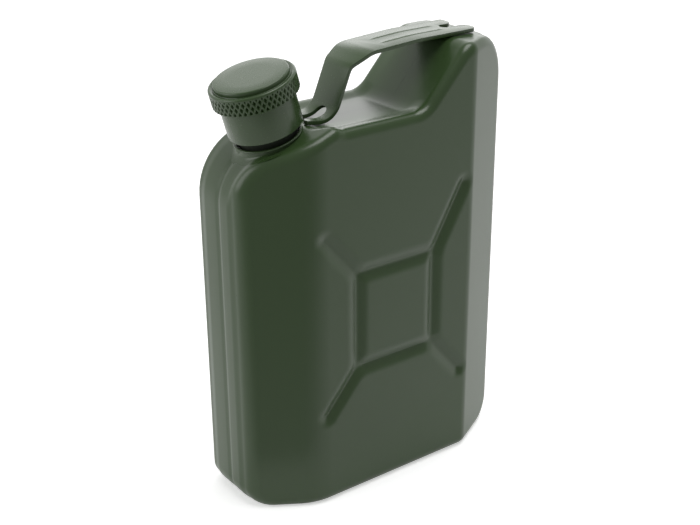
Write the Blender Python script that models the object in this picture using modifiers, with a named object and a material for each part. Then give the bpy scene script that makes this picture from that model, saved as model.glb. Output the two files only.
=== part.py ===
"""A hip flask in the form of a fuel can: two pressed steel shells, a turned neck, a knurled screw cap
and a strap handle. Metres, +Z up, origin under the middle of the base, the front faces -Y."""
import math

import bmesh
import bpy
from mathutils import Matrix, Vector

# Body shells
body_left_reach = 0.0401
body_right_reach = 0.0418
body_height = 0.1136
body_depth = 0.0281
shell_thickness = 0.0006
edge_radius = 0.0024
side_draft = 0.0004
seam_share = 0.4
piece_gap = 0.0003
wing_left_corner = 0.0250
wing_left_angle = math.radians(32.0)
wing_left_radius = 0.015
wing_right_corner = 0.0240
wing_right_angle = math.radians(28.5)
wing_right_radius = 0.0045
base_left_radius = 0.0056
base_right_radius = 0.007

# Shoulder, grip recess and hump, from left to right along the top
shoulder_drop = 0.02184
shoulder_run = 0.0197
shoulder_angle = math.radians(19.9)
shoulder_radius = 0.0155
shoulder_end_radius = 0.0035
recess_step = 0.0008
recess_step_run = 0.0028
recess_run = 0.0256
recess_wall_angle = math.radians(49.5)
recess_foot_radius = 0.007
recess_lip_height = 0.0008
recess_lip_width = 0.0044
lip_end_shift = 0.0026
hump_left_radius = 0.005
hump_face_radius = 0.009
hump_right_radius = 0.0128

# Pressed cross on both faces
cross_half_width = 0.01205
cross_low = 0.0360
cross_high = 0.0618
arm_reach = 0.0094
arm_rise_left = 0.0110
arm_rise_right = 0.0163
arm_drop = 0.0110
groove_half_width = 0.0034
groove_depth = 0.0011

# Neck and its collar, measured along the tilted neck axis from the collar's rim
neck_inset = 0.01213
neck_tilt = math.radians(15.53)
collar_stand = 0.0010
collar_radius = 0.0084
collar_height = 0.0037
collar_edge = 0.0003
neck_radius = 0.0065
neck_wall = 0.00075
neck_height = 0.0117
neck_lip = 0.0003

# Cap, with heights above the collar's rim
cap_bottom = 0.0019
cap_skirt_radius = 0.0090
cap_wall = 0.00085
cap_skirt_height = 0.0082
band_radius = 0.0104
band_height = 0.0043
band_edge = 0.0005
knurl_depth = 0.0004
knurl_count = 48
knurl_rows = 6
cap_groove_radius = 0.00935
cap_groove_depth = 0.0002
disc_radius = 0.0090
disc_rise = 0.0011
disc_edge = 0.0006
cap_top_thickness = 0.0010
liner_wall = 0.00075
liner_set_back = 0.0006
gasket_thickness = 0.0014

# Strap handle
strap_foot_width = 0.0098
strap_top_width = 0.0125
strap_flare_start = 0.0055
strap_flare_run = 0.0050
strap_flare_radius = 0.006
strap_thickness = 0.0009
strap_tip_lift = 0.0006
strap_tip_offset = 0.0004
strap_heel_offset = 0.0036
strap_foot_run = 0.0075
strap_foot_radius = 0.006
strap_heel_radius = 0.004
strap_rise_angle = math.radians(67.5)
strap_knee_height = 0.0117
strap_knee_radius = 0.0035
strap_turn_run = 0.0052
strap_turn_rise = 0.0029
strap_turn_radius = 0.008
strap_rest_run = 0.0150
strap_rest_radius = 0.060
strap_hump_run = 0.0184
fork_slot_width = 0.0030
fork_left_length = 0.0086
fork_right_length = 0.0068
fork_short_prong = 0.0014
prong_outer_radius = 0.0006
prong_inner_radius = 0.0021
bead_spacing = 0.0043
bead_width = 0.0011
bead_height = 0.0003
bead_start = 0.0020

# Counts
corner_steps = 5
edge_steps = 3
bend_steps = 3
arc_steps = 4
turn_steps = 40

# Margins for cutting and merging
cut_overrun = 0.004
same_spot = 0.00001
same_plane = 0.0000003
cut_snap = 0.00000003
arc_run_share = 0.9
arm_rim_share = 1.5
arm_tip_share = 1.3
slot_end_share = 0.98

# Values that follow from the sizes above
half_depth = body_depth / 2
shoulder_height = body_height - shoulder_drop
shoulder_end_x = -body_left_reach + shoulder_run
shoulder_end_z = shoulder_height + shoulder_run * math.tan(shoulder_angle)
recess_left_x = shoulder_end_x + recess_step_run
recess_z = shoulder_end_z - recess_step
recess_right_x = recess_left_x + recess_run
hump_left_x = recess_right_x + (body_height - recess_z) / math.tan(recess_wall_angle)
neck_x = -body_left_reach + neck_inset
neck_z = shoulder_height + neck_inset * math.tan(shoulder_angle) + collar_stand
band_bottom = cap_bottom + cap_skirt_height
band_top = band_bottom + band_height
cap_top = band_top + disc_rise - cap_groove_depth
cap_ceiling = cap_top - cap_top_thickness
gasket_top = cap_ceiling - piece_gap
gasket_bottom = gasket_top - gasket_thickness
liner_outer = cap_skirt_radius - cap_wall - piece_gap
liner_inner = liner_outer - liner_wall
gasket_radius = liner_inner - piece_gap
knurl_row_height = (band_height - band_edge * 2) / knurl_rows
cap_reach = band_radius * math.cos(neck_tilt)
cap_reach += (band_top - band_edge - knurl_row_height) * math.sin(neck_tilt)
body_x = (body_left_reach + max(cap_reach - neck_inset, 0.0) - body_right_reach) / 2


def rounded_path(corners, steps, inset=0.0, closed=True):
    """Points along straight runs with arcs at the corners, each corner being (across, up, radius)."""
    count = len(corners)
    spots = [Vector((across, up)) for across, up, radius in corners]
    runs = [spots[(index + 1) % count] - spots[index] for index in range(count)]
    turns = []
    for index in range(count):
        arriving = runs[index - 1].normalized()
        leaving = runs[index].normalized()
        cross = arriving.x * leaving.y - arriving.y * leaving.x
        end = not closed and index in (0, count - 1)
        turns.append((arriving, leaving, 1 if cross > 0 else -1, 0.0 if end else arriving.angle(leaving)))
    reaches = [corner[2] * math.tan(turn[3] / 2) for corner, turn in zip(corners, turns)]
    points = []
    for index, (arriving, leaving, side, angle) in enumerate(turns):
        inward = Vector((-arriving.y, arriving.x)) + Vector((-leaving.y, leaving.x))
        here = spots[index] + inward * inset / (1 + arriving.dot(leaving))
        if angle == 0:
            points.append(spots[index])
            continue
        before = runs[index - 1].length * arc_run_share / (reaches[index - 1] + reaches[index])
        after = runs[index].length * arc_run_share / (reaches[index] + reaches[(index + 1) % count])
        arc = max(corners[index][2] * min(before, after, 1) - side * inset, shell_thickness)
        start = here - arriving * arc * math.tan(angle / 2)
        centre = start + Vector((-arriving.y, arriving.x)) * side * arc
        spoke = start - centre
        for step in range(steps + 1):
            swing = Matrix.Rotation(side * angle * step / steps, 2)
            points.append(centre + swing @ spoke)
    return points


def body_outline(depth_share, face_share, inset):
    """Outline of the body in front view: 0 behind the face's edge, 1 at the seam, as (across, up)."""
    lip = recess_lip_height * (1 - depth_share)
    draft = side_draft * (1 - depth_share)
    shift = lip_end_shift * (1 - depth_share)
    left = -body_left_reach + draft
    right = body_right_reach - draft
    hump_radius = hump_left_radius + (hump_face_radius - hump_left_radius) * face_share
    corners = [
        (left, 0.0, base_left_radius),
        (right, 0.0, base_right_radius),
        (right, body_height - draft / 2, hump_right_radius),
        (hump_left_x + draft, body_height - draft / 2, hump_radius),
        (recess_right_x + draft, recess_z + lip, recess_foot_radius),
        (recess_left_x + shift, recess_z + lip, shoulder_end_radius),
        (shoulder_end_x + shift, shoulder_end_z + shift * math.tan(shoulder_angle), shoulder_end_radius),
        (left, shoulder_height - draft / 2, shoulder_radius),
    ]
    return rounded_path(corners, corner_steps, inset)


def wing_bend(x):
    """Start, run, radius and angle of the bend on this side of the middle panel."""
    if x < 0:
        corner, angle, radius = wing_left_corner, wing_left_angle, wing_left_radius
    else:
        corner, angle, radius = wing_right_corner, wing_right_angle, wing_right_radius
    return corner - radius * math.tan(angle / 2), radius * math.sin(angle), radius, angle


def wing_offset(x):
    """How far the front face lies back from its middle plane at this distance from the centre line."""
    start, run, radius, angle = wing_bend(x)
    out = abs(x) - start
    if out <= 0:
        return 0.0
    if out <= run:
        return radius - math.sqrt(radius ** 2 - out ** 2)
    return radius * (1 - math.cos(angle)) + (out - run) * math.tan(angle)


def groove_strokes():
    """Valley lines of the pressed cross: a square and four arms from its corners, as pairs of points."""
    left, right = -cross_half_width, cross_half_width
    ring = [
        Vector((left, cross_low)),
        Vector((right, cross_low)),
        Vector((right, cross_high)),
        Vector((left, cross_high)),
    ]
    reach = [
        (-arm_reach, -arm_drop),
        (arm_reach, -arm_drop),
        (arm_reach, arm_rise_right),
        (-arm_reach, arm_rise_left),
    ]
    square = [(ring[i - 1], ring[i]) for i in range(len(ring))]
    arms = [(corner, corner + Vector(step)) for corner, step in zip(ring, reach)]
    return square, arms


def groove_at(x, z):
    """Depth of the pressed groove at a point of the face."""
    square, arms = groove_strokes()
    point = Vector((x, z))
    nearest = groove_half_width
    for start, end in square + arms:
        along = end - start
        share = max(0.0, min(1.0, (point - start).dot(along) / along.length_squared))
        nearest = min(nearest, (point - start - along * share).length)
    return groove_depth * (1 - nearest / groove_half_width)


def cut_faces(mesh, faces, point, normal):
    """Cuts the given faces along the line through the point, seen from the front."""
    edges = {edge for face in faces for edge in face.edges}
    verts = {vert for face in faces for vert in face.verts}
    geometry = list(faces) + list(edges) + list(verts)
    plane_point = (point[0], 0.0, point[1])
    plane_normal = (normal[0], 0.0, normal[1])
    bmesh.ops.bisect_plane(mesh, geom=geometry, dist=cut_snap, plane_co=plane_point, plane_no=plane_normal)


def face_centre(face):
    centre = face.calc_center_median()
    return Vector((centre.x, centre.z))


def panel_faces(mesh):
    return [face for face in mesh.faces if all(abs(vert.co.y) < same_plane for vert in face.verts)]


def cut_groove_lines(mesh):
    """Cuts the flat face along the valleys, the edges and the folds of the pressed cross."""
    square, arms = groove_strokes()
    for offset in (-groove_half_width, 0.0, groove_half_width):
        for x in (-cross_half_width, cross_half_width):
            cut_faces(mesh, panel_faces(mesh), (x + offset, 0.0), (1, 0))
        for z in (cross_low, cross_high):
            cut_faces(mesh, panel_faces(mesh), (0.0, z + offset), (0, 1))
    middle = Vector((0.0, (cross_low + cross_high) / 2))
    for corner, end in arms:
        along = (end - corner).normalized()
        across = Vector((-along.y, along.x))
        away = corner - middle
        signs = Vector((math.copysign(1, away.x), math.copysign(1, away.y)))
        rim = end + signs * groove_half_width * arm_rim_share
        for bound, normal in ((rim.x, (1, 0)), (rim.y, (0, 1))):
            near = [f for f in panel_faces(mesh) if (face_centre(f) - corner).dot(signs) > 0]
            cut_faces(mesh, near, (rim.x, rim.y), normal)

        def outside(face):
            centre = face_centre(face)
            step = Vector(((centre.x - corner.x) * signs.x, (centre.y - corner.y) * signs.y))
            limit = Vector(((rim.x - corner.x) * signs.x, (rim.y - corner.y) * signs.y))
            return -groove_half_width < step.x < limit.x and -groove_half_width < step.y < limit.y

        for offset in (-groove_half_width, 0.0, groove_half_width):
            side = corner + across * offset
            chosen = [f for f in panel_faces(mesh) if outside(f)
                      and (face_centre(f) - corner).dot(signs) > groove_half_width * (1 if offset else 0)]
            cut_faces(mesh, chosen, side, across)
        for rival in ((-signs.x, 0), (0, -signs.y)):
            fold = (along + Vector(rival)).normalized()
            near = [f for f in panel_faces(mesh) if outside(f)
                    and (face_centre(f) - corner).length < groove_half_width
                    and (face_centre(f) - corner).dot(fold) > 0]
            cut_faces(mesh, near, corner, (-fold.y, fold.x))
        inner = [f for f in panel_faces(mesh)
                 if -groove_half_width < (face_centre(f).x - corner.x) * signs.x < 0
                 and -groove_half_width < (face_centre(f).y - corner.y) * signs.y < 0]
        cut_faces(mesh, inner, corner, (signs.y, -signs.x))
        for turn in range(-1, 2):
            ray = Matrix.Rotation(turn * math.pi / 4, 2) @ along
            beyond = [f for f in panel_faces(mesh) if (face_centre(f) - end).dot(along) > -piece_gap]
            tip = [f for f in beyond if outside(f)]
            cut_faces(mesh, tip, end + ray * groove_half_width, ray)
        for turn in range(-1, 3):
            ray = Matrix.Rotation(turn * math.pi / 4, 2) @ across
            tip = [f for f in panel_faces(mesh) if outside(f)
                   and (face_centre(f) - end).length < groove_half_width * arm_tip_share
                   and ((face_centre(f) - end).dot(along) > 0 or turn == 0)]
            cut_faces(mesh, tip, end, (-ray.y, ray.x))


def shell_mesh(name, front):
    """Half of the body as an open pressed tray: face, rounded edge, flange and seam."""
    mesh = bmesh.new()
    rings = []
    for step in range(edge_steps + 1):
        turn = math.pi / 2 * step / edge_steps
        depth = edge_radius * (1 - math.cos(turn))
        inset = edge_radius * (1 - math.sin(turn))
        rings.append((depth, inset, 0.0, 1 - step / edge_steps))
    rings.append((edge_radius + recess_lip_width / 2, 0.0, 0.5, 0.0))
    rings.append((edge_radius + recess_lip_width, 0.0, 1.0, 0.0))
    rings.append((half_depth, 0.0, 1.0, 0.0))

    loops = []
    for depth, inset, depth_share, face_share in rings:
        outline = body_outline(depth_share, face_share, inset)
        loop = [mesh.verts.new((x, depth, z)) for x, z in outline]
        edges = [mesh.edges.new((loop[i - 1], loop[i])) for i in range(len(loop))]
        loops.append(edges)
    bmesh.ops.contextual_create(mesh, geom=loops[0])
    for inner, outer in zip(loops, loops[1:]):
        bmesh.ops.bridge_loops(mesh, edges=inner + outer)

    cut_groove_lines(mesh)
    for side in (-1, 1):
        start, run, radius, angle = wing_bend(side)
        for step in range(bend_steps + 1 if front else 1):
            cut_faces(mesh, list(mesh.faces), (side * (start + run * step / bend_steps), 0.0), (1, 0))

    for vert in mesh.verts:
        x, depth, z = vert.co
        seam = wing_offset(x) * seam_share
        pressed = groove_at(x, z) if depth < same_plane else 0.0
        face = -half_depth + wing_offset(x) if front else half_depth
        inward = 1 if front else -1
        flange_start = face + inward * edge_radius
        flange_end = seam - inward * piece_gap / 2
        if depth <= edge_radius:
            y = face + inward * (depth + pressed)
        else:
            share = (depth - edge_radius) / (half_depth - edge_radius)
            y = flange_start + (flange_end - flange_start) * share
        vert.co.y = y

    bmesh.ops.remove_doubles(mesh, verts=mesh.verts, dist=same_spot)
    bmesh.ops.recalc_face_normals(mesh, faces=mesh.faces)
    panel = max(mesh.faces, key=lambda face: abs(face.normal.y) * face.calc_area())
    if (panel.normal.y > 0) == front:
        bmesh.ops.reverse_faces(mesh, faces=mesh.faces)
    data = bpy.data.meshes.new(name)
    mesh.to_mesh(data)
    mesh.free()
    return data


def paint(name, colour, roughness, metallic):
    material = bpy.data.materials.new(name)
    material.use_nodes = True
    shader = material.node_tree.nodes["Principled BSDF"]
    shader.inputs["Base Color"].default_value = (*colour, 1)
    shader.inputs["Roughness"].default_value = roughness
    shader.inputs["Metallic"].default_value = metallic
    material.diffuse_color = (*colour, 1)
    return material


def place(name, data, collection, material=None):
    thing = bpy.data.objects.new(name, data)
    collection.objects.link(thing)
    if material:
        data.materials.append(material)
    return thing


def turned(name, profile, steps, collection, material=None):
    """A closed profile of (radius, height) points turned round the object's Z axis."""
    mesh = bmesh.new()
    verts = [mesh.verts.new((radius, 0.0, height)) for radius, height in profile]
    for pair in zip(verts, verts[1:]):
        mesh.edges.new(pair)
    if profile[0][0] > 0:
        mesh.edges.new((verts[-1], verts[0]))
    data = bpy.data.meshes.new(name)
    mesh.to_mesh(data)
    mesh.free()
    thing = place(name, data, collection, material)
    screw = thing.modifiers.new("Turn", "SCREW")
    screw.steps = steps
    screw.render_steps = steps
    screw.use_merge_vertices = True
    screw.merge_threshold = same_spot
    return thing


def add_shell(name, front, neck_frame, parts, cutters, material):
    """One body half with its share of the round opening for the neck collar."""
    shell = place(name, shell_mesh(name, front), parts, material)
    wall = shell.modifiers.new("Wall", "SOLIDIFY")
    wall.thickness = shell_thickness
    wall.offset = -1
    wall.use_even_offset = True
    drill_radius = collar_radius + piece_gap
    drill = turned(name + "_drill", [
        (0.0, cut_overrun),
        (drill_radius, cut_overrun),
        (drill_radius, -cut_overrun - collar_height),
        (0.0, -cut_overrun - collar_height),
    ], turn_steps, cutters)
    drill.parent = neck_frame
    drill.hide_render = True
    drill.display_type = "WIRE"
    hole = shell.modifiers.new("Neck opening", "BOOLEAN")
    hole.operation = "DIFFERENCE"
    hole.solver = "MANIFOLD"
    hole.object = drill
    return shell


def add_collar(neck_frame, parts, material):
    inner = neck_radius + piece_gap
    collar = turned("neck_collar", [
        (inner, 0.0),
        (collar_radius - collar_edge, 0.0),
        (collar_radius, -collar_edge),
        (collar_radius, -collar_height),
        (inner, -collar_height),
    ], turn_steps, parts, material)
    collar.parent = neck_frame
    return collar


def add_neck(neck_frame, parts, material):
    inner = neck_radius - neck_wall
    neck = turned("threaded_neck", [
        (inner, neck_height),
        (neck_radius - neck_lip, neck_height),
        (neck_radius, neck_height - neck_lip),
        (neck_radius, -collar_height),
        (inner, -collar_height),
    ], turn_steps, parts, material)
    neck.parent = neck_frame
    return neck


def add_cap(cap_frame, parts, material):
    """Cap shell: a turned body whose band is worked into raised diamonds."""
    inner = cap_skirt_radius - cap_wall
    profile = [
        (0.0, cap_top),
        (disc_radius - disc_edge, cap_top),
        (disc_radius - disc_edge / 4, cap_top - disc_edge / 4),
        (disc_radius, cap_top - disc_edge),
        (disc_radius, band_top - cap_groove_depth),
        (cap_groove_radius, band_top - cap_groove_depth),
        (cap_groove_radius, band_top),
        (band_radius - band_edge, band_top),
    ]
    band = [(band_radius, band_top - band_edge - knurl_row_height * row) for row in range(knurl_rows + 1)]
    lower = [
        (band_radius - band_edge, band_bottom),
        (cap_skirt_radius, band_bottom),
        (cap_skirt_radius, cap_bottom),
        (inner, cap_bottom),
        (inner, cap_ceiling),
        (0.0, cap_ceiling),
    ]
    mesh = bmesh.new()
    verts = [mesh.verts.new((radius, 0.0, height)) for radius, height in profile + band + lower]
    edges = [mesh.edges.new(pair) for pair in zip(verts, verts[1:])]
    columns = knurl_count * 2
    bmesh.ops.spin(mesh, geom=verts + edges, cent=(0, 0, 0), axis=(0, 0, 1), angle=math.tau, steps=columns,
                   use_merge=True)
    bmesh.ops.remove_doubles(mesh, verts=mesh.verts, dist=same_spot)
    high = band[0][1] + same_spot
    low = band[-1][1] - same_spot
    for vert in mesh.verts:
        radius = math.hypot(vert.co.x, vert.co.y)
        if low < vert.co.z < high and radius > band_radius - same_spot:
            column = round(math.atan2(vert.co.y, vert.co.x) / math.pi * knurl_count)
            row = round((band[0][1] - vert.co.z) / knurl_row_height)
            if (column + row) % 2 == 0 or row in (0, knurl_rows):
                vert.co.x *= 1 - knurl_depth / band_radius
                vert.co.y *= 1 - knurl_depth / band_radius
    for face in list(mesh.faces):
        rims = [vert for vert in face.verts if low < vert.co.z < high
                and math.hypot(vert.co.x, vert.co.y) > band_radius - knurl_depth - same_spot]
        if len(rims) == 4:
            crest = band_radius - knurl_depth / 2
            sunk = [vert for vert in rims if math.hypot(vert.co.x, vert.co.y) < crest]
            corners = list(face.verts)
            if len(sunk) == 2:
                gap = abs(corners.index(sunk[0]) - corners.index(sunk[1]))
                if gap == 2:
                    bmesh.ops.connect_verts(mesh, verts=sunk)
    bmesh.ops.recalc_face_normals(mesh, faces=mesh.faces)
    data = bpy.data.meshes.new("cap_shell")
    mesh.to_mesh(data)
    mesh.free()
    cap = place("cap_shell", data, parts, material)
    cap.parent = cap_frame
    return cap


def add_liner(cap_frame, parts, material):
    bottom = cap_bottom + liner_set_back
    liner = turned("cap_liner", [
        (liner_inner, gasket_top),
        (liner_outer, gasket_top),
        (liner_outer, bottom),
        (liner_inner, bottom),
    ], turn_steps, parts, material)
    liner.parent = cap_frame
    return liner


def add_gasket(cap_frame, parts, material):
    gasket = turned("cap_gasket", [
        (0.0, gasket_top),
        (gasket_radius, gasket_top),
        (gasket_radius, gasket_bottom),
        (0.0, gasket_bottom),
    ], turn_steps, parts, material)
    gasket.parent = cap_frame
    return gasket


def strap_course():
    """Side view of the strap's top surface as (across, up) points, from the foot to the hump."""
    foot_z = recess_z + piece_gap + strap_thickness
    tip_x = shoulder_end_x + strap_tip_offset
    heel_x = tip_x + strap_heel_offset
    bend_x = tip_x + strap_foot_run
    knee_x = bend_x + strap_knee_height / math.tan(strap_rise_angle)
    knee_z = foot_z + strap_knee_height
    turn_x = knee_x + strap_turn_run
    turn_z = knee_z + strap_turn_rise
    rest_x = turn_x + strap_rest_run
    rest_z = body_height + piece_gap + strap_thickness
    return rounded_path([
        (tip_x, foot_z + strap_tip_lift, 0.0),
        (heel_x, foot_z, strap_heel_radius),
        (bend_x, foot_z, strap_foot_radius),
        (knee_x, knee_z, strap_knee_radius),
        (turn_x, turn_z, strap_turn_radius),
        (rest_x, rest_z, strap_rest_radius),
        (rest_x + strap_hump_run, rest_z, 0.0),
    ], arc_steps, closed=False)


def add_strap(parts, material):
    """Strap handle: a flat blank with forked ends and two pressed beads, bent along its course."""
    course = strap_course()
    lengths = [0.0]
    for start, end in zip(course, course[1:]):
        lengths.append(lengths[-1] + (end - start).length)
    total = lengths[-1]
    riser_top = 2 + 2 * arc_steps + 1
    turn_end = 4 + 4 * arc_steps
    foot = strap_foot_width / 2
    side = strap_top_width / 2
    slot = fork_slot_width / 2
    slot_radius = slot * slot_end_share
    far_end = total - fork_short_prong
    flare_end = lengths[riser_top] + strap_flare_start
    flare_start = flare_end - strap_flare_run
    blank = rounded_path([
        (0.0, -foot, prong_outer_radius),
        (flare_start, -foot, strap_flare_radius),
        (flare_end, -side, strap_flare_radius),
        (total, -side, prong_outer_radius),
        (total, -slot, prong_inner_radius),
        (total - fork_right_length, -slot, slot_radius),
        (total - fork_right_length, slot, slot_radius),
        (far_end, slot, prong_inner_radius),
        (far_end, side, prong_outer_radius),
        (flare_end, side, strap_flare_radius),
        (flare_start, foot, strap_flare_radius),
        (0.0, foot, prong_outer_radius),
        (0.0, slot, prong_inner_radius),
        (fork_left_length, slot, slot_radius),
        (fork_left_length, -slot, slot_radius),
        (0.0, -slot, prong_inner_radius),
    ], arc_steps)
    mesh = bmesh.new()
    verts = [mesh.verts.new((along, 0.0, across)) for along, across in blank]
    edges = [mesh.edges.new((verts[i - 1], verts[i])) for i in range(len(verts))]
    bmesh.ops.contextual_create(mesh, geom=edges)
    for length in lengths[1:-1]:
        cut_faces(mesh, list(mesh.faces), (length, 0.0), (1, 0))
    bead_first = lengths[turn_end] + bead_start
    bead_last = total - fork_right_length
    for along in (bead_first, bead_first + bead_width, bead_last - bead_width, bead_last):
        cut_faces(mesh, list(mesh.faces), (along, 0.0), (1, 0))
    for centre in (-bead_spacing / 2, bead_spacing / 2):
        for offset in (-bead_width / 2, 0.0, bead_width / 2):
            near = [f for f in mesh.faces if bead_first < f.calc_center_median().x < bead_last]
            cut_faces(mesh, near, (0.0, centre + offset), (0, 1))
    for vert in mesh.verts:
        along, _, across = vert.co
        index = max(i for i in range(len(course) - 1) if lengths[i] <= along + same_plane)
        share = (along - lengths[index]) / (lengths[index + 1] - lengths[index])
        spot = course[index].lerp(course[index + 1], share)
        line = min(abs(abs(across) - bead_spacing / 2), bead_width / 2)
        inside = bead_first + bead_width / 2 < along < bead_last - bead_width / 2
        lift = bead_height * (1 - line / (bead_width / 2)) if inside else 0.0
        vert.co = (spot.x, across, spot.y + lift)
    bmesh.ops.recalc_face_normals(mesh, faces=mesh.faces)
    if sum(face.normal.z * face.calc_area() for face in mesh.faces) < 0:
        bmesh.ops.reverse_faces(mesh, faces=mesh.faces)
    data = bpy.data.meshes.new("handle_strap")
    mesh.to_mesh(data)
    mesh.free()
    strap = place("handle_strap", data, parts, material)
    gauge = strap.modifiers.new("Gauge", "SOLIDIFY")
    gauge.thickness = strap_thickness
    gauge.offset = -1
    gauge.use_even_offset = True
    return strap


def add_frame(name, collection, place_at, tilt, parent=None):
    frame = bpy.data.objects.new(name, None)
    collection.objects.link(frame)
    frame.location = place_at
    frame.rotation_euler = (0.0, tilt, 0.0)
    frame.parent = parent
    return frame


def main():
    for old in list(bpy.data.objects):
        bpy.data.objects.remove(old, do_unlink=True)
    parts = bpy.data.collections.new("jerry_can_hip_flask")
    cutters = bpy.data.collections.new("cutters")
    for collection in (parts, cutters):
        bpy.context.scene.collection.children.link(collection)

    green = (0.060, 0.074, 0.048)
    body_paint = paint("front_powder_coat", green, 0.42, 0.0)
    back_paint = paint("back_powder_coat", green, 0.42, 0.0)
    collar_paint = paint("collar_powder_coat", (0.085, 0.100, 0.072), 0.35, 0.0)
    steel = paint("neck_stainless_steel", (0.55, 0.55, 0.53), 0.30, 1.0)
    cap_paint = paint("cap_powder_coat", (0.070, 0.086, 0.060), 0.38, 0.0)
    liner_plastic = paint("liner_plastic", (0.030, 0.030, 0.030), 0.50, 0.0)
    gasket_silicone = paint("gasket_silicone", (0.72, 0.72, 0.70), 0.60, 0.0)
    strap_paint = paint("strap_powder_coat", (0.066, 0.080, 0.054), 0.40, 0.0)

    flask_frame = add_frame("flask_frame", parts, (body_x, 0.0, 0.0), 0.0)
    neck_frame = add_frame("neck_frame", parts, (neck_x, 0.0, neck_z), -neck_tilt, flask_frame)
    cap_frame = add_frame("cap_frame", parts, (neck_x, 0.0, neck_z), -neck_tilt, flask_frame)

    front = add_shell("front_shell", True, neck_frame, parts, cutters, body_paint)
    back = add_shell("back_shell", False, neck_frame, parts, cutters, back_paint)
    add_collar(neck_frame, parts, collar_paint)
    add_neck(neck_frame, parts, steel)
    add_cap(cap_frame, parts, cap_paint)
    add_liner(cap_frame, parts, liner_plastic)
    add_gasket(cap_frame, parts, gasket_silicone)
    strap = add_strap(parts, strap_paint)

    for thing in (front, back, strap):
        thing.parent = flask_frame
    for thing in parts.objects:
        if thing.type == "MESH":
            thing.data.shade_smooth()
            thing.data.set_sharp_from_angle(angle=math.radians(30))


main()
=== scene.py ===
"""Looks of a pocket flask in the form of a fuel can: pressed and powder-coated steel shells with an
embossed cross, a collar and threaded neck, a knurled screw cap and a forked strap handle."""
import math

import bmesh
import bpy
from mathutils import Matrix, Vector


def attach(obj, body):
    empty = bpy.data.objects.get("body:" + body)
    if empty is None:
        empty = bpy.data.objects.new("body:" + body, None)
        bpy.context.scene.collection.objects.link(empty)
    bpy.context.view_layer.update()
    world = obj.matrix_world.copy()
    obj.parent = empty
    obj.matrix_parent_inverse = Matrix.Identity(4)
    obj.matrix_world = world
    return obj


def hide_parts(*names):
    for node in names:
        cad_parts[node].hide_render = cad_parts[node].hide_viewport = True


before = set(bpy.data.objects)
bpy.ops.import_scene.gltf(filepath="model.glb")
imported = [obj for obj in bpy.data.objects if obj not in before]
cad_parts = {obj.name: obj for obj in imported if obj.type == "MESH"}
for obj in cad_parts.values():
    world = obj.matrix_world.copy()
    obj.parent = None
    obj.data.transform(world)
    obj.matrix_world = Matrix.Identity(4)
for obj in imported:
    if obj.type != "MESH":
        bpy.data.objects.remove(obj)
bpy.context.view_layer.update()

millimetre = 0.001

# How finely curves are stepped, and how close points and cuts may lie. As in all values here, lengths
# are in metres and angles in radians.
corner_steps = 12
corner_share = 0.9
fillet_steps = 8
lip_steps = 10
bend_steps = 10
prong_steps = 8
round_steps = 96
thread_steps = 64
hair = 0.001 * millimetre
merge_gap = 0.005 * millimetre
fine_merge_gap = 0.002 * millimetre
sharp_edge = math.radians(35.0)
collar_sharp_edge = math.radians(50.0)
knurl_sharp_edge = math.radians(32.0)
rounded_edge = math.radians(50.0)

# Body shells
body_x = -0.000118
body_left_reach = 0.0401
body_right_reach = 0.0418
body_height = 0.1136
body_depth = 0.0281
shell_thickness = 0.0006
edge_radius = 0.0024
back_edge_radius = 0.0016
face_margin = 0.0004
side_draft = 0.0004
seam_share = 0.4
seam_gap = 0.00002
seam_trough_width = 0.0022
seam_trough_depth = 0.00016
dressed_past_hump = 0.006
dressed_fade = 0.005
wing_left_corner = 0.0250
wing_left_angle = math.radians(32.0)
wing_left_radius = 0.015
wing_right_corner = 0.0240
wing_right_angle = math.radians(28.5)
wing_right_radius = 0.0045
bend_margin = 0.0003
base_left_radius = 0.0056
base_right_radius = 0.007

# Shoulder, grip recess and hump, from left to right along the top
shoulder_height = 0.09176
shoulder_run = 0.0197
shoulder_angle = math.radians(19.9)
shoulder_radius = 0.0155
shoulder_front_radius = 0.0112
shoulder_end_radius = 0.0035
recess_step = 0.0008
recess_step_run = 0.0028
recess_run = 0.0256
recess_wall_angle = math.radians(49.5)
recess_foot_radius = 0.007
recess_lip_height = 0.0008
recess_lip_width = 0.0044
lip_end_shift = 0.0026
hump_left_radius = 0.005
hump_face_radius = 0.009
hump_right_radius = 0.0128

# Pressed cross on both faces
cross_half_width = 0.01205
cross_low = 0.0360
cross_high = 0.0618
arm_reach = 0.0094
arm_rise_left = 0.0110
arm_rise_right = 0.0163
arm_drop = 0.0110
groove_half_width = 0.0034
groove_depth = 0.0011
groove_valley = 0.06
groove_soft = 0.45
groove_blend = 0.0010
groove_mesh = 0.00045

# Neck and collar, measured along the tilted neck axis from the collar's rim
neck_inset = 0.01213
neck_tilt = math.radians(15.53)
neck_radius = 0.0065
neck_wall = 0.00075
neck_height = 0.0117
collar_stand = 0.0010
collar_radius = 0.0084
collar_height = 0.0037
lip_width = 0.00064
lip_overhang = 0.00048
lip_inner_edge = 0.00012
lip_outer_edge = 0.00027
lip_depth = 0.00052
lip_wall_end = 0.00066
collar_foot_inset = 0.0002
well_inset = 0.00068
well_top_drop = 0.00035
well_depth = 0.0012
well_corner = 0.0005
sleeve_gap = 0.00005
sleeve_wall = 0.0003
sleeve_edge = 0.0001
sleeve_top = 0.0027
drill_top = 0.004
drill_bottom = -0.008

# Flare that joins the collar to the shoulder
flare_rings = 9
flare_width = 0.0009
flare_spacing = 1.3
flare_curve = 2.3
flare_top = 0.00098
flare_left_drop = 0.0007
flare_left_spread = 0.5
flare_sink = 0.00005
flare_tuck_in = 0.0001
flare_tuck_under = 0.00025
first_flare_mark = -5 * millimetre
skin_search = (-0.009, 0.003)
skin_halvings = 20

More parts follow.
